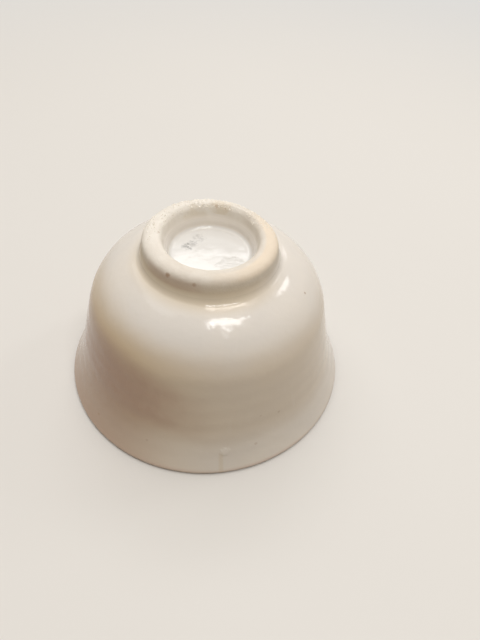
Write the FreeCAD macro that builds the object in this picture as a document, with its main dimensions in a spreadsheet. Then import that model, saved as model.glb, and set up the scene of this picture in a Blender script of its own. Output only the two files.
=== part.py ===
"""Porcelain tea bowl, standing mouth down on its lip with its foot ring on top.

The pieces follow the order in which a potter makes them: the thrown clay bowl, the foot ring luted on
to its base, and then the glaze, dipped over the outside, poured round the inside, and brushed into the
foot's well.  The lip's crown and the foot's face stay bare clay.

Every piece is a body of revolution about Z.  Its section is drawn in the XZ plane, so a sketch's X is a
radius and its Y is a height, counted from the lip's crown, where the bowl rests, up to the foot's face.
"""

import FreeCAD
import Part
import Sketcher
import math
import os

Vector = FreeCAD.Vector

# Driving dimensions, in millimetres and degrees.
SIZES = {
    "mouth_radius": 30.0,  # widest radius of the glazed lip
    "cup_height": 35.0,  # from the crown of the lip to the face of the foot
    "lip_width": 1.3,  # clay at the lip, from one side to the other
    "lip_wipe": 50.0,  # glaze is wiped off the crown, this far to each side of its lowest point
    "glaze_coat": 0.3,  # every glaze coat is this thick
    "flare_radius": 40.0,  # hollow curve on the outside that opens the mouth
    "flare_centre_height": 20.3,  # height of that curve's centre
    "wall_lean": 14.0,  # the straight wall leans in from the vertical by this much
    "wall_taper": 2.5,  # its inside leans this much more, so the wall thickens towards the base
    "shoulder_height": 10.2,  # height of the shoulder's curve, up to the foot's seat
    "inner_corner_radius": 10.5,  # round between the inside of the wall and the floor
    "floor_thickness": 2.8,  # clay between the floor and the foot's seat
    "foot_radius": 12.0,  # outside of the clay foot ring
    "foot_height": 4.7,  # from its seat on the base to its face
    "foot_edge_round": 1.1,  # worn outer edge of its face
    "well_root_radius": 8.1,  # inside of the foot ring at its seat
    "well_lean": 14.0,  # the ring's inside opens from the vertical by this much
    "well_edge_round": 1.0,  # worn inner edge of its face
    "bare_band": 0.4,  # bare clay between the foot's rounded edges and the glaze
    "foot_pool_radius": 1.3,  # glaze pooled in the corner between shoulder and foot
    "well_pool_radius": 0.9,  # glaze pooled round the floor of the foot's well
}

# Formulas that several sketches share.
SEAT = "(Sizes.cup_height - Sizes.foot_height)"
HALF_LIP = "Sizes.lip_width / 2"
FOOT_GLAZE_END = "Sizes.cup_height - Sizes.foot_edge_round - Sizes.bare_band - Sizes.glaze_coat"
WELL_GLAZE_END = "Sizes.cup_height - Sizes.well_edge_round - Sizes.bare_band - Sizes.glaze_coat"

# Directions in a section.
UP = math.radians(90)
INWARD = math.radians(180)
DOWN = math.radians(270)
FULL_TURN = math.radians(360)


def polar(centre, radius, angle):
    return centre + Vector(radius * math.cos(angle), radius * math.sin(angle), 0)


class Edge:
    """A line or an arc of a section.  An arc runs anticlockwise from its start to its end."""

    def __init__(self, index):
        self.index = index
        self.start = (index, 1)
        self.end = (index, 2)
        self.centre = (index, 3)


# A sketch's own axes are edges too, and its origin is the start of the horizontal one.
ORIGIN = Edge(-1).start
BOWL_AXIS = Edge(-2).index


class Section:
    """The sketch of a piece's outline, on the XZ plane of the piece's own body."""

    def __init__(self, body):
        self.sketch = body.newObject("Sketcher::SketchObject", body.Name + "_section")
        plane = next(item for item in body.Origin.OriginFeatures if item.Role == "XZ_Plane")
        self.sketch.AttachmentSupport = [(plane, "")]
        self.sketch.MapMode = "FlatFace"

    def line(self, start, end):
        return Edge(self.sketch.addGeometry(Part.LineSegment(start, end)))

    def arc(self, centre, radius, first, last):
        circle = Part.Circle(centre, Vector(0, 0, 1), radius)
        return Edge(self.sketch.addGeometry(Part.ArcOfCircle(circle, first, last)))

    def tie(self, kind, *places):
        """Adds a constraint that has no size.  A place is a whole edge, or one point of it."""
        numbers = []
        for place in places:
            numbers.extend(place if isinstance(place, tuple) else [place])
        self.sketch.addConstraint(Sketcher.Constraint(kind, *numbers))

    def join(self, *pairs):
        for first, second in pairs:
            self.tie("Coincident", first, second)

    def blend(self, *pairs):
        """Joins pairs of ends so that the outline runs through them without a corner."""
        for first, second in pairs:
            self.tie("Tangent", first, second)

    def on_axis(self, point):
        self.tie("PointOnObject", point, BOWL_AXIS)

    def measure(self, kind, name, places, formula):
        """Adds a dimension and binds it to the spreadsheet."""
        value = self.sketch.evalExpression(formula)
        if kind == "Angle":
            value = math.radians(value)
        index = self.sketch.addConstraint(Sketcher.Constraint(kind, *places, value))
        self.sketch.renameConstraint(index, name)
        self.sketch.setExpression("Constraints." + name, formula)

    def radius(self, name, edge, formula):
        self.measure("Radius", name, [edge.index], formula)

    def slope(self, name, edge, formula):
        self.measure("Angle", name, [edge.index], formula)

    def across(self, name, point, formula):
        self.measure("DistanceX", name, [*ORIGIN, *point], formula)

    def height(self, name, point, formula):
        self.measure("DistanceY", name, [*ORIGIN, *point], formula)


class Wall:
    """One side of the wall: the flare above the lip, the straight lean, and the turn into the base.

    The outside turns over the shoulder and ends at the foot's seat.  The inside turns into the floor and
    ends on the axis.  A coat of glaze has the same edges, each moved off the clay by its thickness.
    """

    def __init__(self, section, size, inside, coat=0.0):
        self.section = section
        self.inside = inside
        self.lay_out(size)
        self.draw(-coat if inside else coat)

    def lay_out(self, size):
        """Works out the centres, radii and angles of the clay's own edges."""
        half_lip = size["lip_width"] / 2
        self.crown_centre = Vector(size["mouth_radius"] - size["glaze_coat"] - half_lip, half_lip, 0)
        reach = size["flare_radius"] + size["glaze_coat"] + half_lip
        self.tilt = math.asin((size["flare_centre_height"] - half_lip) / reach)
        self.flare_centre = polar(self.crown_centre, reach, self.tilt)
        self.flare_radius = reach + half_lip if self.inside else reach - half_lip

        self.lean = math.radians(size["wall_lean"] + (size["wall_taper"] if self.inside else 0.0))
        self.wall_start = polar(self.flare_centre, self.flare_radius, INWARD + self.lean)
        outward = polar(Vector(), 1, self.lean)
        seat = size["cup_height"] - size["foot_height"]
        if self.inside:
            self.turn_radius = size["inner_corner_radius"]
            floor = seat - size["floor_thickness"]
            wall_top = floor - self.turn_radius * (1 - math.sin(self.lean))
        else:
            wall_top = seat - size["shoulder_height"]
        wall_length = (wall_top - self.wall_start.y) / math.cos(self.lean)
        self.wall_end = polar(self.wall_start, wall_length, self.lean + UP)
        if self.inside:
            self.turn_centre = self.wall_end - outward * self.turn_radius
            self.turn_end = Vector(self.turn_centre.x, floor, 0)
        else:
            self.turn_end = Vector(size["foot_radius"], seat, 0)
            chord = self.wall_end - self.turn_end
            self.turn_radius = chord.dot(chord) / (2 * chord.dot(outward))
            self.turn_centre = self.wall_end - outward * self.turn_radius

    def draw(self, offset):
        section = self.section
        self.flare = section.arc(
            self.flare_centre,
            self.flare_radius - offset,
            INWARD + self.lean,
            INWARD + self.tilt,
        )
        self.wall = section.line(
            polar(self.wall_start, offset, self.lean),
            polar(self.wall_end, offset, self.lean),
        )
        spoke = self.turn_end - self.turn_centre
        last = math.atan2(spoke.y, spoke.x)
        self.turn = section.arc(self.turn_centre, self.turn_radius + offset, self.lean, last)
        section.blend((self.flare.start, self.wall.start), (self.wall.end, self.turn.start))
        if self.inside:
            level = self.turn_end.y + offset
            self.floor = section.line(Vector(self.turn_end.x, level, 0), Vector(0, level, 0))
            section.blend((self.turn.end, self.floor.start))
            section.tie("Horizontal", self.floor.index)
            section.on_axis(self.floor.end)

    def bind(self, crown):
        """Sizes the clay's own edges, and the lip's crown beside them, from the spreadsheet."""
        section = self.section
        middle = "Sizes.mouth_radius - Sizes.glaze_coat - " + HALF_LIP
        section.across("crown_middle", crown.centre, middle)
        section.height("crown_level", crown.centre, HALF_LIP)
        section.radius("crown_round", crown, HALF_LIP)
        self.bind_wall()

    def bind_wall(self):
        section = self.section
        if self.inside:
            hollow = "Sizes.flare_radius + Sizes.glaze_coat + Sizes.lip_width"
            section.radius("inside_flare", self.flare, hollow)
            section.height("inside_flare_height", self.flare.centre, "Sizes.flare_centre_height")
            section.slope("inside_lean", self.wall, "90 + Sizes.wall_lean + Sizes.wall_taper")
            section.radius("inner_corner", self.turn, "Sizes.inner_corner_radius")
            section.height("floor_level", self.floor.end, SEAT + " - Sizes.floor_thickness")
        else:
            section.radius("outside_flare", self.flare, "Sizes.flare_radius + Sizes.glaze_coat")
            section.height("outside_flare_height", self.flare.centre, "Sizes.flare_centre_height")
            section.slope("outside_lean", self.wall, "90 + Sizes.wall_lean")
            section.height("shoulder_level", self.wall.end, SEAT + " - Sizes.shoulder_height")
            section.across("shoulder_end", self.turn.end, "Sizes.foot_radius")
            section.height("seat_level", self.turn.end, SEAT)

    def follow(self, clay):
        """Keeps a coat's edges parallel to the clay's.  Its thickness is set at the lip."""
        self.section.join(
            (self.flare.centre, clay.flare.centre),
            (self.turn.centre, clay.turn.centre),
        )
        self.section.tie("Parallel", self.wall.index, clay.wall.index)


def coated_wall(section, size, inside):
    """Draws both sides of a wall's coat, and its edge where it was wiped off the lip's crown."""
    clay = Wall(section, size, inside)
    glazed = Wall(section, size, inside, size["glaze_coat"])
    wipe = math.radians(size["lip_wipe"])
    wiped = DOWN - wipe if inside else DOWN + wipe
    arc_ends = (INWARD + clay.tilt, wiped) if inside else (wiped, FULL_TURN + clay.tilt)
    clay_round = size["lip_width"] / 2
    glazed_round = clay_round + size["glaze_coat"]
    under = section.arc(clay.crown_centre, clay_round, *arc_ends)
    over = section.arc(clay.crown_centre, glazed_round, *arc_ends)
    edge = section.line(
        polar(clay.crown_centre, clay_round, wiped),
        polar(clay.crown_centre, glazed_round, wiped),
    )
    if inside:
        section.blend((under.start, clay.flare.end), (over.start, glazed.flare.end))
        section.join((under.end, edge.start), (over.end, edge.end))
        section.slope("wiped_edge", edge, "270 - Sizes.lip_wipe")
    else:
        section.blend((under.end, clay.flare.end), (over.end, glazed.flare.end))
        section.join((under.start, edge.start), (over.start, edge.end))
        section.slope("wiped_edge", edge, "270 + Sizes.lip_wipe")
    section.join((over.centre, under.centre))
    section.tie("PointOnObject", under.centre, edge.index)
    section.radius("coat_round", over, HALF_LIP + " + Sizes.glaze_coat")
    clay.bind(under)
    glazed.follow(clay)
    return clay, glazed


def make_sheet(doc):
    """Puts the driving dimensions into a spreadsheet, and returns them as it holds them."""
    sheet = doc.addObject("Spreadsheet::Sheet", "Sizes")
    for row, (alias, value) in enumerate(SIZES.items(), 1):
        sheet.set(f"A{row}", alias)
        sheet.set(f"B{row}", str(value))
        sheet.setAlias(f"B{row}", alias)
    doc.recompute()
    return {alias: float(sheet.get(alias)) for alias in SIZES}


def start_body(doc, name):
    body = doc.addObject("PartDesign::Body", name)
    body.Label = name
    return body, Section(body)


def turn_on_wheel(body, section):
    """Revolves a finished section about the bowl's axis."""
    solid = body.newObject("PartDesign::Revolution", body.Name + "_turned")
    solid.Profile = section.sketch
    solid.ReferenceAxis = (section.sketch, ["V_Axis"])
    solid.Angle = 360
    return body


def bowl_body(doc, size):
    """The thrown bowl: a thin flared lip, a leaning wall, a round shoulder and a thick flat base."""
    body, section = start_body(doc, "bowl_body")
    outside = Wall(section, size, inside=False)
    inside = Wall(section, size, inside=True)
    crown = section.arc(
        outside.crown_centre,
        size["lip_width"] / 2,
        INWARD + outside.tilt,
        FULL_TURN + outside.tilt,
    )
    base_middle = Vector(0, outside.turn_end.y, 0)
    base = section.line(outside.turn_end, base_middle)
    axis = section.line(base_middle, Vector(0, inside.turn_end.y, 0))

    section.blend((crown.start, inside.flare.end), (crown.end, outside.flare.end))
    section.join((outside.turn.end, base.start), (base.end, axis.start), (axis.end, inside.floor.end))
    section.tie("Horizontal", base.index)
    section.on_axis(base.end)
    outside.bind(crown)
    inside.bind_wall()
    return turn_on_wheel(body, section)


def foot_ring(doc, size):
    """The ring luted on to the base: upright outside, a well that opens upwards, a worn bare face."""
    body, section = start_body(doc, "foot_ring")
    top = size["cup_height"]
    seat = top - size["foot_height"]
    lean = math.radians(size["well_lean"])
    outer = size["foot_radius"]
    edge_round = size["foot_edge_round"]
    well_round = size["well_edge_round"]
    root = Vector(size["well_root_radius"], seat, 0)
    well_corner = root.x + size["foot_height"] * math.tan(lean)
    setback = well_round / math.tan((UP + lean) / 2)
    well_centre = Vector(well_corner + setback, top - well_round, 0)

    seat_face = section.line(root, Vector(outer, seat, 0))
    side = section.line(Vector(outer, seat, 0), Vector(outer, top - edge_round, 0))
    outer_edge = section.arc(Vector(outer - edge_round, top - edge_round, 0), edge_round, 0, UP)
    face = section.line(Vector(outer - edge_round, top, 0), Vector(well_centre.x, top, 0))
    well_edge = section.arc(well_centre, well_round, UP, INWARD - lean)
    well = section.line(root, polar(well_centre, well_round, INWARD - lean))

    section.join((seat_face.start, well.start), (seat_face.end, side.start))
    section.blend(
        (side.end, outer_edge.start),
        (outer_edge.end, face.start),
        (face.end, well_edge.start),
        (well_edge.end, well.end),
    )
    section.tie("Horizontal", seat_face.index)
    section.tie("Vertical", side.index)
    section.tie("Horizontal", face.index)
    section.across("outer_radius", side.start, "Sizes.foot_radius")
    section.height("seat_level", side.start, SEAT)
    section.height("face_level", face.start, "Sizes.cup_height")
    section.radius("outer_round", outer_edge, "Sizes.foot_edge_round")
    section.radius("well_round", well_edge, "Sizes.well_edge_round")
    section.across("root_radius", well.start, "Sizes.well_root_radius")
    section.slope("well_slope", well, "90 - Sizes.well_lean")
    return turn_on_wheel(body, section)


def outer_glaze(doc, size):
    """The dipped coat: over wall and shoulder, pooled against the foot, and up the foot's side."""
    body, section = start_body(doc, "outer_glaze")
    clay, glazed = coated_wall(section, size, inside=False)
    coat = size["glaze_coat"]
    pool = size["foot_pool_radius"]
    glazed_foot = size["foot_radius"] + coat
    reach = clay.turn_radius + coat + pool
    pool_angle = math.acos((glazed_foot + pool - clay.turn_centre.x) / reach)
    pool_centre = polar(clay.turn_centre, reach, pool_angle)
    end_level = size["cup_height"] - size["foot_edge_round"] - size["bare_band"] - coat
    end_centre = Vector(size["foot_radius"], end_level, 0)

    under = section.line(clay.turn_end, end_centre + Vector(0, coat, 0))
    end = section.arc(end_centre, coat, 0, UP)
    side = section.line(Vector(glazed_foot, pool_centre.y, 0), Vector(glazed_foot, end_level, 0))
    pooled = section.arc(pool_centre, pool, INWARD, INWARD + pool_angle)

    section.join((clay.turn.end, under.start), (under.end, end.end))
    section.blend(
        (end.start, side.end),
        (side.start, pooled.start),
        (pooled.end, glazed.turn.end),
    )
    section.tie("Vertical", under.index)
    section.tie("Vertical", side.index)
    section.tie("PointOnObject", end.centre, under.index)
    section.radius("end_round", end, "Sizes.glaze_coat")
    section.radius("pool_round", pooled, "Sizes.foot_pool_radius")
    section.height("end_level", end.centre, FOOT_GLAZE_END)
    return turn_on_wheel(body, section)


def inner_glaze(doc, size):
    """The poured coat: from the lip down the inside of the wall and across the floor."""
    body, section = start_body(doc, "inner_glaze")
    clay, glazed = coated_wall(section, size, inside=True)
    middle = Vector(0, clay.turn_end.y, 0)
    axis = section.line(middle - Vector(0, size["glaze_coat"], 0), middle)
    section.join((glazed.floor.end, axis.start), (axis.end, clay.floor.end))
    return turn_on_wheel(body, section)


def foot_well_glaze(doc, size):
    """The coat brushed into the foot's well: its floor, the pooled corner and the sloping side."""
    body, section = start_body(doc, "foot_well_glaze")
    coat = size["glaze_coat"]
    pool = size["well_pool_radius"]
    lean = math.radians(size["well_lean"])
    seat = size["cup_height"] - size["foot_height"]
    root = Vector(size["well_root_radius"], seat, 0)
    end_level = size["cup_height"] - size["well_edge_round"] - size["bare_band"] - coat
    end_centre = polar(root, (end_level - seat) / math.cos(lean), UP - lean)
    pool_rise = coat + pool
    pool_centre = root + Vector(pool_rise * (math.sin(lean) - 1) / math.cos(lean), pool_rise, 0)
    middle = Vector(0, seat, 0)
    glazed_middle = Vector(0, seat + coat, 0)

    seat_face = section.line(middle, root)
    under = section.line(root, polar(end_centre, coat, UP - lean))
    end = section.arc(end_centre, coat, UP - lean, INWARD - lean)
    side = section.line(
        polar(pool_centre, pool, FULL_TURN - lean),
        polar(end_centre, coat, INWARD - lean),
    )
    pooled = section.arc(pool_centre, pool, DOWN, FULL_TURN - lean)
    floor = section.line(polar(pool_centre, pool, DOWN), glazed_middle)
    axis = section.line(glazed_middle, middle)

    section.join(
        (seat_face.end, under.start),
        (under.end, end.start),
        (floor.end, axis.start),
        (axis.end, seat_face.start),
    )
    section.blend(
        (end.end, side.end),
        (side.start, pooled.end),
        (pooled.start, floor.start),
    )
    section.tie("Horizontal", seat_face.index)
    section.tie("Horizontal", floor.index)
    section.tie("Parallel", side.index, under.index)
    section.tie("PointOnObject", end.centre, under.index)
    section.on_axis(seat_face.start)
    section.on_axis(floor.end)
    section.across("root_radius", seat_face.end, "Sizes.well_root_radius")
    section.height("seat_level", seat_face.end, SEAT)
    section.slope("well_slope", under, "90 - Sizes.well_lean")
    section.height("floor_level", floor.end, SEAT + " + Sizes.glaze_coat")
    section.radius("end_round", end, "Sizes.glaze_coat")
    section.radius("pool_round", pooled, "Sizes.well_pool_radius")
    section.height("end_level", end.centre, WELL_GLAZE_END)
    return turn_on_wheel(body, section)


def check(doc, pieces):
    """Stops if an object failed, a sketch is loose, or a piece isn't one sound solid."""
    for item in doc.Objects:
        if "Invalid" in item.State or "Error" in item.State:
            raise RuntimeError(f"{item.Label} failed: {item.State}")
        if item.isDerivedFrom("Sketcher::SketchObject") and not item.FullyConstrained:
            raise RuntimeError(f"{item.Label} is not fully constrained")
    for piece in pieces:
        shape = piece.Shape
        if shape.isNull() or not shape.isValid() or len(shape.Solids) != 1:
            raise RuntimeError(f"{piece.Label} is not one sound solid")


def main():
    doc = FreeCAD.newDocument("TeaBowl")
    size = make_sheet(doc)
    makers = [bowl_body, foot_ring, outer_glaze, inner_glaze, foot_well_glaze]
    pieces = [make(doc, size) for make in makers]
    doc.recompute()
    check(doc, pieces)
    os.makedirs("parts", exist_ok=True)
    for piece in pieces:
        piece.Shape.exportStep(os.path.join("parts", piece.Label + ".step"))
        box = piece.Shape.optimalBoundingBox()
        print(f"{piece.Label}: {piece.Shape.Volume:.1f} mm3, z {box.ZMin:.2f} to {box.ZMax:.2f} mm")


main()
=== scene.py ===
"""The look of a porcelain tea bowl that stands mouth down on its lip, with its foot ring on top.

The plain solids of the frame give the main sizes.  Each piece is turned again here from its own
section, a little out of true as hand-thrown work is, and gets its finish: glossy warm white glaze
on the wall and in the foot's well, bare biscuit on the foot's face and the lip, and grains of kiln
grit stuck to the foot.

A section is a list of points (radius, height) in metres.  It runs anticlockwise round the piece.
"""

import math

import bpy
from bpy.props import FloatProperty, FloatVectorProperty, IntProperty, PointerProperty
from mathutils import Matrix, Vector


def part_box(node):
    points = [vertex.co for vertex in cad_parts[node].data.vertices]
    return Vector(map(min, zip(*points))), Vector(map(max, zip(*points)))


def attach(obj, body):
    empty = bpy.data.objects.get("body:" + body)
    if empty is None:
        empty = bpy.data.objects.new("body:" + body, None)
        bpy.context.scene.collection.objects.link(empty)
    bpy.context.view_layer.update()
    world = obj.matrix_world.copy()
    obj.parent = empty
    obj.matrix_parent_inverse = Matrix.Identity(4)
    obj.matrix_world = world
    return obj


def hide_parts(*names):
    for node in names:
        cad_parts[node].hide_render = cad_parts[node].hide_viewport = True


bl_info = {
    "name": "Porcelain Tea Bowl",
    "version": (1, 0, 0),
    "blender": (4, 5, 0),
    "location": "3D View > Sidebar > Tea Bowl",
    "description": "Turns, glazes and lights a small porcelain bowl standing on its lip",
    "category": "Object",
}

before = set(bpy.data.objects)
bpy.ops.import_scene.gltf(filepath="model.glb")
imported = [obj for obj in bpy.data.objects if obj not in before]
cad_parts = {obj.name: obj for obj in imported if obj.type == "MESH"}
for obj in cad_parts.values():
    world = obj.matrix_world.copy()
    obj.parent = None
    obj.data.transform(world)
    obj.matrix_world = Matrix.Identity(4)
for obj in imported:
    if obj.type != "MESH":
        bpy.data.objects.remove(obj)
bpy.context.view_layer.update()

MM = 0.001

# Directions in a section, anticlockwise from the one that points away from the axis.
UP = math.radians(90)
INWARD = math.radians(180)
DOWN = math.radians(270)
FULL_TURN = math.radians(360)

CLAY_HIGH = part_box("bowl_body")[1]
DIPPED_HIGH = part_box("outer_glaze")[1]
POURED_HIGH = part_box("inner_glaze")[1]
FOOT_LOW, FOOT_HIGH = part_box("foot_ring")


# ---- sizes and colours a user may change


def number(name, text, default, **kind):
    return FloatProperty(name=name, description=text, default=default, **kind)


def length(name, text, default):
    return number(name, text, default, unit="LENGTH", precision=5)


def angle(name, text, degrees):
    return number(name, text, math.radians(degrees), subtype="ANGLE")


def triple(name, text, default, **kind):
    return FloatVectorProperty(name=name, description=text, default=default, size=3, **kind)


def xyz(name, text, default):
    return triple(name, text, default, subtype="TRANSLATION", unit="LENGTH")


def colour(name, text, default):
    return triple(name, text, default, min=0.0, max=1.0, subtype="COLOR")


class BowlShape(bpy.types.PropertyGroup):
    """The bowl's driving dimensions."""

    mouth_radius: length("Mouth radius", "Widest radius of the glazed lip", DIPPED_HIGH.x)
    height: length("Height", "From the lip's crown to the foot's face", FOOT_HIGH.z)
    seat: length("Foot seat", "Height of the base that carries the foot ring", FOOT_LOW.z)
    floor: length("Floor", "Height of the clay floor inside the bowl", POURED_HIGH.z)
    coat: length("Glaze coat", "Thickness of every glaze coat", DIPPED_HIGH.x - CLAY_HIGH.x)
    lip_width: length("Lip width", "Clay at the lip, from side to side", 1.3 * MM)
    lip_wipe: angle("Lip wipe", "Glaze is wiped off this far to each side of the crown", 50)
    lip_bead: angle("Lip bead", "Part of the crown over which the wiped coat thickens", 25)
    flare_radius: length("Flare radius", "Hollow curve outside that opens the mouth", 40 * MM)
    flare_height: length("Flare height", "Height of that curve's centre", 20.3 * MM)
    wall_lean: angle("Wall lean", "Lean of the straight wall outside", 14)
    wall_taper: angle("Wall taper", "How much more the wall leans inside", 2.5)
    shoulder_height: length("Shoulder height", "Height of the round shoulder", 10.2 * MM)
    inner_corner: length("Inner corner", "Round between inner wall and floor", 10.5 * MM)
    foot_radius: length("Foot radius", "Outside of the clay foot ring", FOOT_HIGH.x)
    foot_edge: length("Foot edge", "Round on the outer edge of the foot's face", 1.6 * MM)
    well_radius: length("Well radius", "Inside of the foot ring at its seat", 8.1 * MM)
    well_lean: angle("Well lean", "How far the ring's inside opens", 14)
    well_edge: length("Well edge", "Round on the inner edge of the foot's face", 1.3 * MM)
    bare_side: length("Bare side", "Bare clay outside, from the foot's edge to the glaze", 1.1 * MM)
    bare_well: length("Bare well", "Bare clay inside, from the foot's edge to the glaze", 0.5 * MM)
    well_pool: length("Well pool", "Round of the glaze pooled in the foot's well", 0.9 * MM)
    feather: length("Feathered edge", "Length over which the well's coat thins out", 1.8 * MM)


class HandMarks(bpy.types.PropertyGroup):
    """How far the thrown bowl is out of true."""

    segments: IntProperty(name="Segments", description="Steps round the bowl", default=192, min=24)
    mouth_drift: xyz(
        "Mouth drift", "How far the mouth sits off the foot's axis", (0.10 * MM, -0.05 * MM, 0.0)
    )
    mouth_oval: length("Mouth oval", "How far the mouth's long sides bow out", 0.2 * MM)
    mouth_long_side: angle("Mouth's long way", "Side of that bow, anticlockwise from +X", 21)
    foot_bulge: length("Foot bulge", "How far the foot bows out at the back", 0.85 * MM)
    foot_bulge_side: angle("Bulge side", "Side of that bulge, anticlockwise from +X", 115)
    foot_oval: length("Foot oval", "How far the foot stands out to its right and left", 0.6 * MM)
    foot_spread: length("Foot spread", "How much wider the foot is at its base", 0.35 * MM)
    foot_flats: length("Foot flats", "Depth of the sides pressed into the foot's back", 0.15 * MM)
    well_drift: length("Well drift", "How far the foot's well is cut off its axis", 0.5 * MM)
    out_of_round: length("Out of round", "Slow wander of the radius", 0.12 * MM)
    ring_depth: length("Throwing rings", "Depth of the spiral left by the fingers", 0.018 * MM)
    ring_pitch: length("Ring pitch", "Rise of that spiral in one turn", 3.4 * MM)
    unevenness: length("Unevenness", "Height of the soft lumps in clay and glaze", 0.045 * MM)
    lump_size: length("Lump size", "Distance from lump to lump", 9 * MM)
    seed: number("Seed", "Chooses another bowl from the same hands", 3.0)


class KilnGrit(bpy.types.PropertyGroup):
    """The grains that the kiln shelf left on the foot."""

    grains: number("Grains", "Most grains to a square centimetre", 620.0)
    grain_size: length("Grain size", "Radius of the largest grain", 0.23 * MM)
    direction: angle("Side", "The side of the foot with most grit, anticlockwise from +X", 98)
    seed: IntProperty(name="Seed", description="Chooses other places for the grains", default=7)


class BowlColours(bpy.types.PropertyGroup):
    """Colours of clay and glaze."""

    glaze: colour("Glaze", "The coat on the shoulder", (0.78, 0.735, 0.675))
    glaze_cool: colour("Cool glaze", "Clouds in the coat", (0.73, 0.70, 0.665))
    glaze_white: colour("White glaze", "The thick pool in the foot's well", (0.72, 0.72, 0.71))
    # Painted shade: this colour darkens and warms the lower wall, where less light falls.
    glaze_warm: colour("Warm glaze", "The coat on the lower wall", (0.63, 0.50, 0.335))
    # Also used as painted shade at the foot's base and down the front of the foot's side.
    pooled: colour("Pooled glaze", "Where the coat gathers in a corner", (0.64, 0.53, 0.36))
    lip: colour("Lip tint", "Thin glaze over the lip's edge", (0.62, 0.45, 0.36))
    # Used for a painted reflection with painted shade low on one side of the wall, and for a real
    # pink flush round the foot's specks.
    mauve: colour("Smoke", "The faint smoky cloud on one side of the wall", (0.44, 0.28, 0.205))
    biscuit: colour("Biscuit", "Bare fired clay", (0.735, 0.68, 0.605))
    peach: colour("Flashing", "Warm flush on the bare clay", (0.85, 0.72, 0.56))
    iron: colour("Iron", "Specks that burnt through", (0.34, 0.19, 0.095))
    ash: colour("Ash", "Grey specks in the foot's well", (0.16, 0.15, 0.14))
    grit: colour("Grit", "Sand grains on the foot", (0.88, 0.85, 0.79))


class Studio(bpy.types.PropertyGroup):
    """Floor, lamps and camera."""

    floor: colour("Floor", "The pale floor as it is seen", (0.74, 0.73, 0.71))
    bounce: colour("Bounce", "The floor in the light that it throws back", (0.34, 0.305, 0.26))
    fill: number("Fill", "Strength of the light from all sides", 0.40)
    air: colour("Air", "Colour of the light from all sides", (1.0, 0.89, 0.75))
    lamps: number("Lamps", "Scales every lamp", 1.28)
    camera: xyz("Camera", "Where the camera stands", (0.0, -69.99 * MM, 90.62 * MM))
    aim: xyz("Aim", "What the camera looks at", (6.28 * MM, -6.55 * MM, 19.5 * MM))
    roll: angle("Roll", "How far the camera is tipped anticlockwise", 6.07)
    lens: number("Lens", "Focal length in millimetres", 27.06, min=1.0)


# ---- nodes written as expressions


def pick(sockets, key):
    """The socket with that number, or the one in use with that identifier or name."""
    if isinstance(key, int):
        return sockets[key]
    return next(s for s in sockets if s.enabled and key in (s.identifier, s.name))


class Value:
    """What one socket gives.  Arithmetic on it adds the Math nodes that work it out."""

    def __init__(self, maker, socket):
        self.maker = maker
        self.socket = socket

    def __getitem__(self, key):
        return Value(self.maker, pick(self.socket.node.outputs, key))

    def __add__(self, other):
        return self.maker.maths("ADD", self, other)

    __radd__ = __add__

    def __sub__(self, other):
        return self.maker.maths("SUBTRACT", self, other)

    def __rsub__(self, other):
        return self.maker.maths("SUBTRACT", other, self)

    def __mul__(self, other):
        return self.maker.maths("MULTIPLY", self, other)

    __rmul__ = __mul__

    def __truediv__(self, other):
        return self.maker.maths("DIVIDE", self, other)

    def __rtruediv__(self, other):
        return self.maker.maths("DIVIDE", other, self)


class Maker:
    """Adds nodes to one tree."""

    def __init__(self, tree):
        self.tree = tree

    def add(self, kind, settings, values, result=0):
        """Adds a node, its settings, then its sockets' values or links, and gives one output."""
        node = self.tree.nodes.new(kind)
        for name, setting in settings.items():
            setattr(node, name, setting)
        for key, value in values.items():
            socket = pick(node.inputs, key)
            if isinstance(value, Value):
                self.tree.links.new(value.socket, socket)
            else:
                socket.default_value = value
        return Value(self, pick(node.outputs, result)) if node.outputs else None

    def maths(self, operation, *values):
        return self.add("ShaderNodeMath", {"operation": operation}, dict(enumerate(values)))

    def vector(self, operation, *values, result=0):
        return self.add(
            "ShaderNodeVectorMath", {"operation": operation}, dict(enumerate(values)), result
        )

    def scaled(self, vector, factor):
        return self.add(
            "ShaderNodeVectorMath", {"operation": "SCALE"}, {"Vector": vector, "Scale": factor}
        )

    def combine(self, x, y, z):
        return self.add("ShaderNodeCombineXYZ", {}, {"X": x, "Y": y, "Z": z})

    def separate(self, vector):
        parts = self.add("ShaderNodeSeparateXYZ", {}, {"Vector": vector})
        return parts["X"], parts["Y"], parts["Z"]

    def ramp(self, value, low, high):
        """Rises smoothly from 0 at low to 1 at high, or falls if high is the lower one."""
        return self.add(
            "ShaderNodeMapRange",
            {"interpolation_type": "SMOOTHSTEP"},
            {"Value": value, "From Min": low, "From Max": high},
        )

    def noise(self, vector, scale, detail=2.0, roughness=0.5):
        return self.add(
            "ShaderNodeTexNoise",
            {},
            {"Vector": vector, "Scale": scale, "Detail": detail, "Roughness": roughness},
        )

    def mix(self, factor, first, second):
        """Blends two colours."""
        return self.add(
            "ShaderNodeMix",
            {"data_type": "RGBA", "clamp_factor": True},
            {"Factor_Float": factor, "A_Color": first, "B_Color": second},
            "Result_Color",
        )


# ---- sections

# The longest step along a section, the widest in an arc, and the steps in the thin edge of a coat.
STEP = 0.55 * MM
ARC_STEP = math.radians(4)
EDGE_STEPS = 8


def polar(centre, radius, direction):
    """The point that far from the centre, that way."""
    return centre + Vector((radius * math.cos(direction), radius * math.sin(direction)))


def shares(count):
    """From 0 to 1 in equal steps."""
    return [step / count for step in range(count + 1)]


def line(start, end):
    count = max(1, math.ceil((end - start).length / STEP))
    return [start.lerp(end, share) for share in shares(count)]


def arc(centre, radius, first, last):
    sweep = last - first
    count = max(1, math.ceil(abs(sweep) * radius / STEP), math.ceil(abs(sweep) / ARC_STEP))
    return [polar(centre, radius, first + sweep * share) for share in shares(count)]


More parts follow.
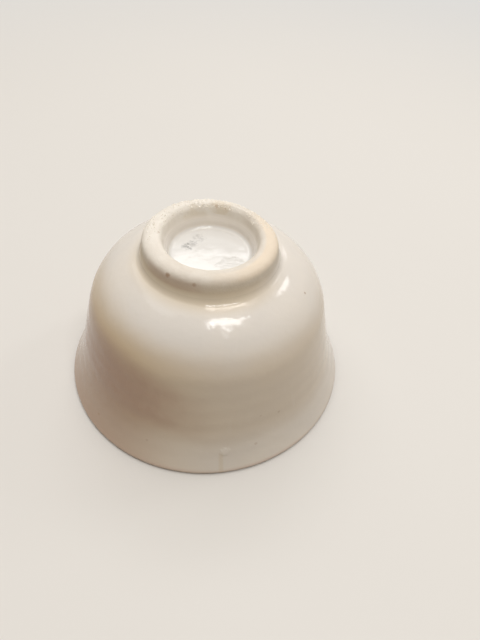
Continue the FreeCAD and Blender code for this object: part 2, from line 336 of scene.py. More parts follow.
def thinning(start, end, across):
    """The face of a coat that thins out: across from the clay at start, and on it at end."""
    return [
        start.lerp(end, share) + across * (0.5 + 0.5 * math.cos(share * math.pi))
        for share in shares(2 * EDGE_STEPS)
    ]


def wiped_bead(centre, radius, coat, wiped, full):
    """The edge of a coat wiped off the lip: it swells from nothing to its full thickness."""
    bead = []
    for share in shares(EDGE_STEPS):
        swell = coat * math.sqrt(1 - (1 - share) ** 2)
        bead.append(polar(centre, radius + swell, wiped + (full - wiped) * share))
    return bead


def seat_edge(shape):
    """Where the outside of the foot meets the base."""
    return Vector((shape.foot_radius, shape.seat))


class WallSide:
    """The curves of one side of the wall: lip, flare, straight lean, and the turn into the base."""

    def __init__(self, shape, inside):
        self.lip_round = shape.lip_width / 2
        self.lip_centre = Vector((shape.mouth_radius - shape.coat - self.lip_round, self.lip_round))
        reach = shape.flare_radius + shape.coat + self.lip_round
        self.tilt = math.asin((shape.flare_height - self.lip_round) / reach)
        self.flare_centre = polar(self.lip_centre, reach, self.tilt)
        self.flare_radius = reach + self.lip_round if inside else reach - self.lip_round
        self.lean = shape.wall_lean + (shape.wall_taper if inside else 0.0)
        self.wall_start = polar(self.flare_centre, self.flare_radius, INWARD + self.lean)
        outward = polar(Vector((0, 0)), 1, self.lean)
        if inside:
            wall_top = shape.floor - shape.inner_corner * (1 - math.sin(self.lean))
        else:
            wall_top = shape.seat - shape.shoulder_height
        wall_length = (wall_top - self.wall_start.y) / math.cos(self.lean)
        self.wall_end = polar(self.wall_start, wall_length, self.lean + UP)
        chord = self.wall_end - seat_edge(shape)
        outer_turn = chord.dot(chord) / (2 * chord.dot(outward))
        self.turn_radius = shape.inner_corner if inside else outer_turn
        self.turn_centre = self.wall_end - outward * self.turn_radius
        spoke = seat_edge(shape) - self.turn_centre
        self.turn_last = UP if inside else math.atan2(spoke.y, spoke.x)

    def lip(self, offset, first, last):
        return arc(self.lip_centre, self.lip_round + offset, first, last)

    def climb(self, offset, turn_last=None):
        """From the flare above the lip up to the base.  The offset is outward from the axis."""
        flare = self.flare_radius - offset
        turn = self.turn_radius + offset
        across = polar(Vector((0, 0)), offset, self.lean)
        return (
            arc(self.flare_centre, flare, INWARD + self.tilt, INWARD + self.lean)
            + line(self.wall_start + across, self.wall_end + across)
            + arc(self.turn_centre, turn, self.lean, turn_last or self.turn_last)
        )


def bowl_section(shape):
    """The clay bowl: floor, inside of the wall, lip, outside of the wall, and the foot's seat."""
    outside = WallSide(shape, inside=False)
    inside = WallSide(shape, inside=True)
    floor_end = Vector((inside.turn_centre.x, shape.floor))
    return (
        line(Vector((0, shape.floor)), floor_end)
        + inside.climb(0)[::-1]
        + outside.lip(0, INWARD + outside.tilt, FULL_TURN + outside.tilt)
        + outside.climb(0)
        + line(seat_edge(shape), Vector((0, shape.seat)))
    )


def foot_section(shape):
    """The clay foot ring: upright outside, rounded face, and the sloping side of its well."""
    top = shape.height
    root = Vector((shape.well_radius, shape.seat))
    corner = root.x + (top - shape.seat) * math.tan(shape.well_lean)
    setback = shape.well_edge / math.tan((UP + shape.well_lean) / 2)
    outer_centre = Vector((shape.foot_radius - shape.foot_edge, top - shape.foot_edge))
    well_centre = Vector((corner + setback, top - shape.well_edge))
    well_top = polar(well_centre, shape.well_edge, INWARD - shape.well_lean)
    return (
        line(root, seat_edge(shape))
        + line(seat_edge(shape), polar(outer_centre, shape.foot_edge, 0))
        + arc(outer_centre, shape.foot_edge, 0, UP)
        + line(polar(outer_centre, shape.foot_edge, UP), polar(well_centre, shape.well_edge, UP))
        + arc(well_centre, shape.well_edge, UP, INWARD - shape.well_lean)
        + line(well_top, root)
    )


def dipped_section(shape):
    """The coat outside: off the lip, over wall and shoulder, and pooled at the foot.

    The pool is one hollow round, from the shoulder's coat to where the foot's bare side begins.
    """
    side = WallSide(shape, inside=False)
    coat = shape.coat
    wiped = DOWN + shape.lip_wipe
    full = wiped + shape.lip_bead
    end = Vector((shape.foot_radius, shape.height - shape.foot_edge - shape.bare_side))
    from_turn = end - side.turn_centre
    shoulder = side.turn_radius + coat
    pool = (from_turn.length_squared - shoulder**2) / (2 * (shoulder - from_turn.x))
    pool_centre = end + Vector((pool, 0))
    pool_turn = math.atan2(from_turn.y, pool_centre.x - side.turn_centre.x)
    return (
        wiped_bead(side.lip_centre, side.lip_round, coat, wiped, full)
        + side.lip(coat, full, FULL_TURN + side.tilt)
        + side.climb(coat, pool_turn)
        + arc(pool_centre, pool, INWARD + pool_turn, INWARD)
        + line(end, seat_edge(shape))
        + side.climb(0)[::-1]
        + side.lip(0, wiped, FULL_TURN + side.tilt)[::-1]
    )


def poured_section(shape):
    """The coat inside: across the floor, down the wall, and on to the lip."""
    side = WallSide(shape, inside=True)
    coat = shape.coat
    wiped = DOWN - shape.lip_wipe
    full = wiped - shape.lip_bead
    floor_end = Vector((side.turn_centre.x, shape.floor))
    down = Vector((0, coat))
    return (
        line(Vector((0, shape.floor)) - down, floor_end - down)
        + side.climb(-coat)[::-1]
        + side.lip(coat, INWARD + side.tilt, full)
        + wiped_bead(side.lip_centre, side.lip_round, coat, wiped, full)[::-1]
        + side.lip(0, wiped, INWARD + side.tilt)
        + side.climb(0)
        + line(floor_end, Vector((0, shape.floor)))
    )


def well_section(shape):
    """The coat in the foot's well: its floor, the pooled corner and the sloping side."""
    coat = shape.coat
    lean = shape.well_lean
    pool = shape.well_pool
    root = Vector((shape.well_radius, shape.seat))
    end_level = shape.height - shape.well_edge - shape.bare_well
    end = polar(root, (end_level - shape.seat) / math.cos(lean), UP - lean)
    thin_from = polar(end, -shape.feather, UP - lean)
    across = polar(Vector((0, 0)), coat, INWARD - lean)
    rise = coat + pool
    pool_centre = root + Vector((rise * (math.sin(lean) - 1) / math.cos(lean), rise))
    middle = Vector((0, shape.seat))
    lift = Vector((0, coat))
    return (
        line(middle, root)
        + line(root, end)
        + thinning(thin_from, end, across)[::-1]
        + line(thin_from + across, polar(pool_centre, pool, FULL_TURN - lean))
        + arc(pool_centre, pool, FULL_TURN - lean, DOWN)
        + line(polar(pool_centre, pool, DOWN), middle + lift)
    )


# ---- the wheel

# Half of the height over which the wall's marks give way to the foot's.
FOOT_BLEND = 1.5 * MM
# Heights between which the finger marks set in, clear of the lip.
LIP_CLEAR = (1.0 * MM, 5.0 * MM)
# Shares of the foot's radius between which the marks of its outside and of its well set in.
FOOT_OUTSIDE = (0.84, 1.0)
FOOT_WELL = (0.9, 0.78)
# The foot begins to spread this far below its face, and has spread this far above its seat.
SPREAD_TOP = 1.0 * MM
SPREAD_ROOT = 0.8 * MM
# Points closer than the first become one, and edges bent more than the second stay crisp.
WELD = 0.002 * MM
CRISP_ANGLE = math.radians(60)


def new_tree(name, inputs):
    """A modifier's tree with inputs of each kind.  Gives its maker, the inputs and identifiers."""
    tree = bpy.data.node_groups.new(name, "GeometryNodeTree")
    tree.is_modifier = True
    names = {}
    for kind, labels in inputs.items():
        for label in labels:
            item = tree.interface.new_socket(label, in_out="INPUT", socket_type="NodeSocket" + kind)
            names[label] = item.identifier
    tree.interface.new_socket("Geometry", in_out="OUTPUT", socket_type="NodeSocketGeometry")
    maker = Maker(tree)
    return maker, maker.add("NodeGroupInput", {}, {}), names


def end_tree(make, geometry, finish):
    """Every tree ends in real geometry that carries its finish."""
    real = make.add("GeometryNodeRealizeInstances", {}, {"Geometry": geometry})
    coloured = make.add("GeometryNodeSetMaterial", {}, {"Geometry": real, "Material": finish})
    make.add("NodeGroupOutput", {}, {"Geometry": coloured})


def wheel_tree():
    """Turns a section about Z, and lets it wander as clay does on the wheel."""
    make, given, names = new_tree(
        "turned_on_the_wheel",
        {
            "Geometry": ("Section",),
            "Int": ("Segments",),
            "Vector": ("Mouth Drift",),
            "Float": (
                "Height", "Seat", "Foot Radius", "Mouth Oval", "Mouth Long Side", "Foot Bulge",
                "Foot Bulge Side", "Foot Oval", "Foot Spread", "Foot Flats", "Well Drift",
                "Out Of Round", "Ring Depth", "Ring Pitch", "Unevenness", "Lump Size", "Seed",
            ),
            "Material": ("Finish",),
        },
    )
    rows = make.add(
        "GeometryNodeAttributeDomainSize", {"component": "MESH"}, {"Geometry": given["Section"]}
    )
    grid = make.add(
        "GeometryNodeMeshGrid", {}, {"Vertices X": given["Segments"] + 1, "Vertices Y": rows}
    )
    index = make.add("GeometryNodeInputIndex", {}, {})
    position = make.add("GeometryNodeInputPosition", {}, {})
    drawn = make.add(
        "GeometryNodeSampleIndex",
        {"data_type": "FLOAT_VECTOR", "domain": "POINT"},
        {
            "Geometry": given["Section"],
            "Value": position,
            "Index": make.maths("MODULO", index, rows),
        },
    )
    radius, _, height = make.separate(drawn)
    turn = make.maths("FLOOR", index / rows) / given["Segments"] * FULL_TURN
    sine = make.maths("SINE", turn)
    cosine = make.maths("COSINE", turn)
    outward = make.combine(cosine, sine, 0)
    true_place = make.vector("ADD", make.scaled(outward, radius), make.combine(0, 0, height))

    share = height / given["Height"]
    at_foot = make.ramp(height, given["Seat"] - FOOT_BLEND, given["Seat"] + FOOT_BLEND)
    off_axis = make.maths("MINIMUM", radius / given["Foot Radius"], 1)
    clear_of_lip = make.ramp(height, *LIP_CLEAR)

    slow_place = make.vector(
        "ADD", make.scaled(outward, 0.8), make.combine(given["Seed"], 0, share * 1.3)
    )
    slow = (make.noise(slow_place, 1.0, 0.0) - 0.5) * 2 * given["Out Of Round"]
    long_mouth = make.maths("COSINE", (turn - given["Mouth Long Side"]) * 2)
    oval = long_mouth * given["Mouth Oval"] * (1 - share)
    outer_foot = at_foot * make.ramp(off_axis, *FOOT_OUTSIDE)
    to_bulge = make.maths("MAXIMUM", make.maths("COSINE", turn - given["Foot Bulge Side"]), 0)
    to_base = make.ramp(height, given["Height"] - SPREAD_TOP, given["Seat"] + SPREAD_ROOT)
    corners = 0.5 - 0.5 * make.maths("COSINE", turn * 4)
    flats = corners * make.maths("MAXIMUM", sine, 0) * given["Foot Flats"]
    stretch = to_bulge * to_bulge * given["Foot Bulge"] + cosine * cosine * given["Foot Oval"]
    foot = stretch + to_base * given["Foot Spread"] - flats
    spiral = make.maths("SINE", height / given["Ring Pitch"] * FULL_TURN + turn)
    rings = spiral * given["Ring Depth"] * clear_of_lip * (1 - at_foot)
    lump_place = make.scaled(true_place, 1 / given["Lump Size"])
    lumps = (make.noise(lump_place, 1.0, 1.0) - 0.5) * 2 * given["Unevenness"]

    moved_out = (slow + oval + rings + lumps + foot * outer_foot) * off_axis
    bent = make.vector(
        "ADD",
        make.scaled(outward, radius + moved_out),
        make.combine(0, 0, height + lumps * clear_of_lip),
    )
    drift = make.scaled(given["Mouth Drift"], (1 - share) * (1 - share))
    in_well = make.ramp(off_axis, *FOOT_WELL) * at_foot
    well_drift = make.combine(0, in_well * given["Well Drift"], 0)
    bent = make.vector("ADD", make.vector("ADD", bent, drift), well_drift)
    placed = make.add("GeometryNodeSetPosition", {}, {"Geometry": grid, "Position": bent})
    closed = make.add("GeometryNodeMergeByDistance", {}, {"Geometry": placed, "Distance": WELD})
    smooth = make.add("GeometryNodeSetShadeSmooth", {}, {"Geometry": closed})
    bend = make.add("GeometryNodeInputMeshEdgeAngle", {}, {}, "Unsigned Angle")
    crisp = make.add(
        "GeometryNodeSetShadeSmooth",
        {"domain": "EDGE"},
        {
            "Geometry": smooth,
            "Selection": make.maths("GREATER_THAN", bend, CRISP_ANGLE),
            "Shade Smooth": False,
        },
    )
    end_tree(make, crisp, given["Finish"])
    return make.tree, names


# Square centimetres in a square metre.
SQUARE_CM = 1.0e4
# Least and most of a grain's length, width and height, as shares of the grain size.
SMALLEST_GRAIN = (0.3, 0.3, 0.15)
LARGEST_GRAIN = (1.0, 1.0, 0.4)
# The most that a grain is tipped and turned.
MOST_TURN = (0.4, 0.4, FULL_TURN)
# Height over which the grains set in, above the lowest.
GRIT_RISE = 0.2 * MM


def grit_tree():
    """Scatters sand grains over the upturned faces of a piece, most of them on one side."""
    make, given, names = new_tree(
        "kiln_grit",
        {
            "Geometry": ("Foot",),
            "Int": ("Seed",),
            "Vector": ("Direction",),
            "Float": ("Grains", "Grain Size", "Lowest"),
            "Material": ("Finish",),
        },
    )
    position = make.add("GeometryNodeInputPosition", {}, {})
    normal = make.add("GeometryNodeInputNormal", {}, {})
    x, y, height = make.separate(position)
    _, _, upward = make.separate(normal)
    outward = make.vector("NORMALIZE", make.combine(x, y, 0))
    aside = make.vector("DOT_PRODUCT", outward, given["Direction"], result="Value")
    patchy = make.ramp(make.noise(position, 420.0, 1.0), 0.42, 0.62)
    per_square_metre = given["Grains"] * SQUARE_CM
    density = (
        per_square_metre
        * make.ramp(aside, -0.1, 0.9)
        * make.ramp(upward, 0.35, 0.75)
        * make.ramp(height, given["Lowest"], given["Lowest"] + GRIT_RISE)
        * (patchy * 0.8 + 0.2)
    )
    points = make.add(
        "GeometryNodeDistributePointsOnFaces",
        {"distribute_method": "RANDOM"},
        {"Mesh": given["Foot"], "Density": density, "Seed": given["Seed"]},
        "Points",
    )
    grain = make.add("GeometryNodeMeshIcoSphere", {}, {"Radius": 1.0, "Subdivisions": 2}, "Mesh")
    size = make.add(
        "FunctionNodeRandomValue",
        {"data_type": "FLOAT_VECTOR"},
        {"Min": SMALLEST_GRAIN, "Max": LARGEST_GRAIN, "Seed": given["Seed"]},
        "Value",
    )
    turned = make.add(
        "FunctionNodeRandomValue",
        {"data_type": "FLOAT_VECTOR"},
        {"Max": MOST_TURN, "Seed": given["Seed"] + 1},
        "Value",
    )
    scattered = make.add(
        "GeometryNodeInstanceOnPoints",
        {},
        {
            "Points": points,
            "Instance": grain,
            "Rotation": make.add("FunctionNodeEulerToRotation", {}, {"Euler": turned}),
            "Scale": make.scaled(size, given["Grain Size"]),
        },
    )
    real = make.add("GeometryNodeRealizeInstances", {}, {"Geometry": scattered})
    jag = make.add(
        "ShaderNodeTexNoise", {}, {"Vector": position, "Scale": 5000.0, "Detail": 0.0}, "Color"
    )
    rough = make.scaled(make.vector("SUBTRACT", jag, (0.5, 0.5, 0.5)), given["Grain Size"] * 0.5)
    broken = make.add("GeometryNodeSetPosition", {}, {"Geometry": real, "Offset": rough})
    smooth = make.add("GeometryNodeSetShadeSmooth", {}, {"Geometry": broken})
    end_tree(make, smooth, given["Finish"])
    return make.tree, names


def new_object(name, data):
    """An object in the scene, at the origin."""
    holder = bpy.data.objects.new(name, data)
    bpy.context.scene.collection.objects.link(holder)
    return holder


def grown(name, mesh, tree, names, values):
    """Runs a tree on a mesh, with its inputs set by name.  Gives an object with a plain mesh."""
    piece = new_object(name, mesh)
    modifier = piece.modifiers.new(name, "NODES")
    modifier.node_group = tree
    for label, value in values.items():
        modifier[names[label]] = value
    graph = bpy.context.evaluated_depsgraph_get()
    result = bpy.data.meshes.new_from_object(piece.evaluated_get(graph), depsgraph=graph)
    piece.modifiers.remove(modifier)
    piece.data = result
    result.name = name
    if not result.polygons:
        raise RuntimeError(f"{name} came out empty")
    return piece


def turned_piece(name, section, finish):
    """Turns one section on the wheel.  Each hand mark goes to the input of its own name."""
    scene = bpy.context.scene
    shape = scene.bowl_shape
    marks = scene.hand_marks
    mesh = bpy.data.meshes.new(name + "_section")
    steps = [(step, step + 1) for step in range(len(section) - 1)]
    mesh.from_pydata([(point.x, 0, point.y) for point in section], steps, [])
    values = {
        key.replace("_", " ").title(): getattr(marks, key) for key in HandMarks.__annotations__
    }
    values["Height"] = shape.height
    values["Seat"] = shape.seat
    values["Foot Radius"] = shape.foot_radius
    values["Finish"] = finish
    return grown(name, mesh, *wheel_tree(), values)


def place(piece, slot, *nodes):
    """Hides the plain solids that a piece stands for, and gives the piece its body.  The finish
    slot is not used.
    """
    if nodes:
        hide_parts(*nodes)
    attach(piece, "root")


# ---- finishes

# Index of refraction of every finish.
IOR = 1.5
# Height of the glazed floor of the foot's well, in millimetres.
WELL_FLOOR = 30.6
# Iron specks: side in degrees; radius, height and size in millimetres; depth of colour.
WALL_SPECKS = (
    (340.3, 19.1, 27.6, 0.35, 0.6),
    (221.6, 28.6, 3.6, 0.45, 0.25),
    (246.8, 27.8, 5.5, 0.35, 0.25),
    (291.1, 27.9, 5.4, 0.5, 0.25),
    (293.8, 25.9, 11.9, 0.35, 0.2),
    (302.7, 26.1, 10.7, 0.4, 0.25),
    (61.0, 26.3, 9.0, 0.4, 0.5),
    (135.0, 24.0, 18.5, 0.35, 0.5),
    (12.0, 27.4, 6.5, 0.4, 0.4),
)
INSIDE_SPECKS = (
    (30.0, 20.5, 18.0, 0.45, 0.5),
    (155.0, 9.0, 27.2, 0.35, 0.5),
    (290.0, 22.5, 12.0, 0.4, 0.5),
)
FOOT_SPECKS = (
    (85.0, 9.8, 34.6, 0.5, 0.4),
    (74.8, 9.7, 34.5, 0.4, 0.3),
    (233.8, 12.2, 34.0, 0.65, 0.65),
    (257.6, 12.1, 33.8, 0.55, 0.45),
    (176.0, 9.6, 34.8, 0.35, 0.35),
)


def at(degrees, radius, height):
    """A place on the bowl, in millimetres, from its side, its radius and its height."""
    side = math.radians(degrees)
    return (radius * math.cos(side), radius * math.sin(side), height)


class Finish(Maker):
    """A material.  Its places and distances are in millimetres from the middle of the mouth."""

    def __init__(self, name):
        self.material = bpy.data.materials.new(name)
        self.material.use_nodes = True
        super().__init__(self.material.node_tree)
        self.tree.nodes.clear()
        coordinates = self.add("ShaderNodeTexCoord", {}, {})
        self.where = self.scaled(coordinates["Object"], 1 / MM)
        self.x, self.y, self.height = self.separate(self.where)
        self.radius = self.vector("LENGTH", self.combine(self.x, self.y, 0), result="Value")
        self.cloud = self.noise(self.where, 0.07, 3.0)

    def tint(self, factor, under, over):
        """Lays a fixed colour over another colour, by a factor."""
        return self.mix(factor, under, (*over, 1.0))

    def spot(self, middle, size, warp=0.25):
        """1 at a place, falling to 0 at a ragged edge that far from it."""
        ragged = self.noise(self.where, 2.2 / size, 1.0) * (2 * warp * size) - warp * size
        distance = self.vector("DISTANCE", self.where, middle, result="Value")
        return self.ramp(distance + ragged, size, size * 0.35)

    def specked(self, base, over, specks):
        """Lays small specks of one colour over another."""
        for degrees, radius, height, size, depth in specks:
            base = self.tint(self.spot(at(degrees, radius, height), size) * depth, base, over)
        return base

    def side(self, degrees, low, high):
        """Rises from 0 to 1 towards the side that faces that way."""
        return self.ramp(self.facing(degrees), low, high)

    def facing(self, degrees):
        """1 on the side that faces that way, 0 a quarter turn from it, -1 behind."""
        side = math.radians(degrees)
        along = self.x * math.cos(side) + self.y * math.sin(side)
        return along / self.maths("MAXIMUM", self.radius, 0.01)

    def close(self, base, roughness, relief):
        """Ends the material: relief is a height in millimetres."""
        bump = self.add("ShaderNodeBump", {}, {"Strength": 1.0, "Distance": MM, "Height": relief})
        shader = self.add(
            "ShaderNodeBsdfPrincipled",
            {},
            {"Base Color": base, "Roughness": roughness, "IOR": IOR, "Normal": bump},
        )
        self.add("ShaderNodeOutputMaterial", {}, {"Surface": shader})
        return self.material


def glaze_ground(finish, colours):
    """What every coat shares: the clouded colour, the gloss, and the soft skin of melted glaze."""
    clouds = finish.ramp(finish.cloud, 0.35, 0.7)
    base = finish.mix(clouds * 0.7, (*colours.glaze, 1.0), (*colours.glaze_cool, 1.0))
    fine = finish.noise(finish.where, 1.6, 2.0)
    soft = finish.noise(finish.where, 0.42, 1.0)
    relief = fine * 0.012 + soft * 0.05
    gloss = finish.cloud * 0.05 + fine * 0.03 + 0.06
    return base, gloss, relief


def clay_tone(finish, colours):
    """The foot's bare clay: powdery on one side, flushed on the other, with painted shade down its
    sides.
    """
    dusty = finish.ramp(finish.noise(finish.where, 0.5, 2.0), 0.4, 0.7)
    powder = dusty * 0.25 + finish.side(140, -0.3, 0.8) * 0.5
    base = finish.mix(powder, (*colours.biscuit, 1.0), (*colours.grit, 1.0))
    peach_side = finish.side(335, 0.1, 0.85) * finish.ramp(finish.cloud, 0.3, 0.55)
    peach_band = finish.ramp(finish.radius, 9.7, 10.5) * finish.ramp(finish.height, 33.2, 34.4)
    base = finish.tint(peach_side * peach_band * 0.65, base, colours.peach)
    olive = finish.spot(at(112.0, 8.7, 32.4), 3.2, warp=0.5)
    base = finish.tint(olive * 0.3, base, colours.pooled)
    well = finish.ramp(finish.radius, 9.9, 8.9) * (finish.side(95, -0.3, 0.8) * 0.1 + 0.03)
    base = finish.tint(well, base, colours.pooled)
    side = finish.ramp(finish.radius, 11.2, 12.0)
    # Painted shade down the foot's outer side, strongest at the front.
    front = finish.side(245, -0.3, 0.85)
    shaded_foot_side = side * finish.ramp(finish.height, 34.9, 31.4)
    base = finish.tint(shaded_foot_side * (front * 0.62 + 0.06), base, colours.pooled)
    flush = finish.side(236, 0.8, 0.99) * side
    flush = flush * finish.ramp(finish.height, 31.0, 32.6) * finish.ramp(finish.height, 34.6, 33.6)
    return finish.tint(flush * 0.35, base, colours.mauve)


def outer_glaze_finish(colours):
    """The dipped coat: painted shade on the low wall, warm and dark; pooled glaze with painted
    shade at the foot, browner at the front; and a painted reflection with painted shade, like
    smoke, on one side.
    """
    finish = Finish("warm_white_glaze")
    base, gloss, relief = glaze_ground(finish, colours)
    height = finish.height
    wander = finish.cloud * 5 - 2.5
    # Painted shade: the lower wall darker and warmer, less so near the lip and on the right.
    shaded_low_wall = finish.ramp(height + wander * 0.6 - finish.facing(225) * 1.5, 27.3, 21.6)
    to_lip = finish.ramp(height + wander, 11.0, 4.0)
    right = finish.side(325, -0.1, 0.85)
    base = finish.tint(shaded_low_wall * (0.95 - to_lip * 0.34 - right * 0.5), base, colours.glaze_warm)
    # Painted reflection of a dark thing beside the bowl, with painted shade: a mauve-brown haze low
    # on one side of the wall.
    reflected_haze = finish.side(197, 0.4, 0.96) * finish.ramp(height + wander, 24.0, 17.0)
    base = finish.tint(reflected_haze * (0.75 - to_lip * 0.15), base, colours.mauve)

    # Painted reflection with painted shade: a cloudy mauve-brown band across that side.
    reflection_side = finish.facing(205)
    off_band = finish.maths("ABSOLUTE", height + wander * 0.6 - reflection_side * 8 - 9.3)
    reflection_cloud = finish.ramp(finish.noise(finish.where, 0.3, 2.0), 0.3, 0.6) * 0.25 + 0.7
    reflection_band = finish.ramp(off_band, 7.5, 3.0) * finish.ramp(reflection_side, 0.3, 0.8) * reflection_cloud
    base = finish.tint(reflection_band * 0.58, base, colours.mauve)

    # Pooled glaze round the foot's base, with painted shade that is strongest at the front.
    near_foot = finish.ramp(finish.radius, 16.4, 12.6)
    foot_pool_and_shade = near_foot * finish.ramp(height, 28.0, 30.0)
    front = finish.side(250, -0.3, 0.85)
    base = finish.tint(foot_pool_and_shade * (front * 0.6 + 0.05), base, colours.pooled)

    streaks = finish.noise(finish.vector("MULTIPLY", finish.where, (1.1, 1.1, 0.06)), 0.8, 2.0)
    streaked_side = finish.side(340, 0.2, 0.9)
    low_streaks = finish.ramp(streaks, 0.55, 0.75) * finish.ramp(height, 20.0, 12.0) * streaked_side
    base = finish.tint(low_streaks * 0.15, base, colours.glaze)

    lip = finish.ramp(height + finish.cloud, 2.2, 1.0)
    base = finish.tint(lip * 0.5, base, colours.lip)

    pale_drop = finish.spot(at(278.2, 28.0, 5.2), 1.3)
    base = finish.tint(pale_drop * 0.6, base, colours.glaze)
    thread_side = finish.side(276.6, math.cos(math.radians(1.2)), 1.0)
    thread = thread_side * finish.ramp(height, 5.4, 4.2)
    base = finish.tint(thread * 0.3, base, colours.pooled)
    relief = relief + pale_drop * 0.08

    base = finish.specked(base, colours.iron, WALL_SPECKS)
    thin = near_foot * finish.ramp(height, 31.2, 32.9)
    base = finish.mix(thin, base, clay_tone(finish, colours))
    satin = near_foot * finish.ramp(height, 30.8, 32.2)
    return finish.close(base, gloss + satin * 0.5, relief)


def poured_glaze_finish(colours):
    """The poured coat: thin at the lip, and warmer where it is deep."""
    finish = Finish("poured_glaze")
    base, gloss, relief = glaze_ground(finish, colours)
    lip = finish.ramp(finish.height + finish.cloud, 2.2, 1.0)
    base = finish.tint(lip * 0.5, base, colours.lip)
    deep = finish.ramp(finish.height + finish.cloud * 3, 17.0, 29.0)
    base = finish.tint(deep * 0.3, base, colours.pooled)
    base = finish.specked(base, colours.iron, INSIDE_SPECKS)
    return finish.close(base, gloss, relief)


def well_glaze_finish(colours):
    """The coat in the foot's well: white, with a smear of ash, brush marks and a thin edge."""
    finish = Finish("brushed_well_glaze")
    base, gloss, relief = glaze_ground(finish, colours)
    height = finish.height
    thick = finish.ramp(height + finish.cloud * 0.2, 31.2, 30.95)
    base = finish.tint(thick * 0.8, base, colours.glaze_white)
    corner = finish.ramp(finish.radius, 7.0, 7.8)
    back = finish.side(100, -0.4, 0.9)
    base = finish.tint(corner * (back * 0.08 + 0.03), base, colours.pooled)
    grains = finish.noise(finish.where, 1.3, 3.0, 0.75)
    near = finish.spot(at(156.0, 4.9, WELL_FLOOR), 1.5, warp=0.5)
    middle = finish.spot(at(137.0, 4.6, WELL_FLOOR), 1.4, warp=0.5)
    far = finish.spot(at(117.0, 5.2, WELL_FLOOR), 1.6, warp=0.5)
    smear = finish.maths("MAXIMUM", near, finish.maths("MAXIMUM", middle * 0.65, far * 0.4))
    specks = finish.ramp(grains, 0.36, 0.6) * smear
    base = finish.tint(specks * 0.75, base, colours.ash)
    base = finish.mix(finish.ramp(height, 32.0, 33.5), base, clay_tone(finish, colours))
    satin = finish.ramp(height, 31.6, 33.2)
    gloss = gloss * 0.6 + satin * 0.4 + specks * 0.2
    brushed = finish.spot(at(325.0, 4.8, WELL_FLOOR), 2.8, warp=0.5)
    ridges = finish.noise(finish.vector("MULTIPLY", finish.where, (0.5, 1.6, 1.0)), 0.9, 1.0)
    relief = relief * 0.6 + ridges * brushed * 0.22
    return finish.close(base, gloss, relief)


def biscuit_finish(colours):
    """The bare clay: sandy, and stained and specked round the foot."""
    finish = Finish("bare_biscuit")
    sand = finish.noise(finish.where, 5.5, 3.0, 0.65)
    lumps = finish.noise(finish.where, 1.3, 2.0)
    base = clay_tone(finish, colours)
    lip = finish.ramp(finish.height, 2.0, 1.0)
    base = finish.tint(lip * 0.35, base, colours.lip)
    base = finish.tint(finish.ramp(sand, 0.62, 0.8) * 0.18, base, colours.pooled)
    stain = finish.spot(at(80.0, 9.7, 34.4), 2.6, warp=0.6)
    base = finish.tint(stain * 0.4, base, colours.pooled)
    base = finish.specked(base, colours.iron, FOOT_SPECKS)
    return finish.close(base, sand * 0.2 + 0.62, sand * 0.035 + lumps * 0.06)


def grit_finish(colours):
    """Sand fused to the foot: pale, with a little shine."""
    finish = Finish("kiln_grit")
    speckle = finish.noise(finish.where, 9.0, 2.0)
    base = finish.mix(speckle * 0.5, (*colours.grit, 1.0), (*colours.peach, 1.0))
    return finish.close(base, speckle * 0.3 + 0.2, speckle * 0.03)


# ---- one operator for each group of pieces


class ThrowBowl(bpy.types.Operator):
    """Turns the clay bowl: lip, flared wall, round shoulder and base"""

    bl_idname = "tea_bowl.throw_bowl"
    bl_label = "Throw the Bowl"

    def execute(self, context):
        scene = context.scene
        finish = biscuit_finish(scene.bowl_colours)
        piece = turned_piece("thrown_bowl", bowl_section(scene.bowl_shape), finish)
        place(piece, "clay", "bowl_body")
        return {"FINISHED"}


class LuteFoot(bpy.types.Operator):
    """Turns the foot ring that is luted on to the base"""

    bl_idname = "tea_bowl.lute_foot"
    bl_label = "Lute the Foot Ring"

    def execute(self, context):
        scene = context.scene
        finish = bpy.data.materials["bare_biscuit"]
        piece = turned_piece("luted_foot_ring", foot_section(scene.bowl_shape), finish)
        place(piece, "clay", "foot_ring")
        return {"FINISHED"}


class GlazeBowl(bpy.types.Operator):
    """Coats the bowl: dipped outside, poured inside, brushed into the foot's well"""

    bl_idname = "tea_bowl.glaze_bowl"
    bl_label = "Glaze the Bowl"

    def execute(self, context):
        scene = context.scene
        shape = scene.bowl_shape
        colours = scene.bowl_colours
        coats = (
            ("dipped_coat", dipped_section, outer_glaze_finish, "outer_glaze"),
            ("poured_coat", poured_section, poured_glaze_finish, "inner_glaze"),
            ("well_coat", well_section, well_glaze_finish, "foot_well_glaze"),
        )
        for name, section, finish, node in coats:
            piece = turned_piece(name, section(shape), finish(colours))
            place(piece, "glaze", node)
        return {"FINISHED"}


class ScatterGrit(bpy.types.Operator):
    """Sticks kiln grit to the foot's face"""

    bl_idname = "tea_bowl.scatter_grit"
    bl_label = "Scatter Kiln Grit"

    def execute(self, context):
        scene = context.scene
        grit = scene.kiln_grit
        shape = scene.bowl_shape
        foot = bpy.data.objects["luted_foot_ring"].data.copy()
        values = {
            "Grains": grit.grains,
            "Grain Size": grit.grain_size,
            "Direction": Vector((math.cos(grit.direction), math.sin(grit.direction), 0.0)),
            "Lowest": shape.height - shape.foot_edge,
            "Seed": grit.seed,
            "Finish": grit_finish(scene.bowl_colours),
        }
        place(grown("kiln_grit", foot, *grit_tree(), values), "clay")
        return {"FINISHED"}


# ---- studio

DAYLIGHT_ON_WOOD = (1.0, 0.92, 0.85)
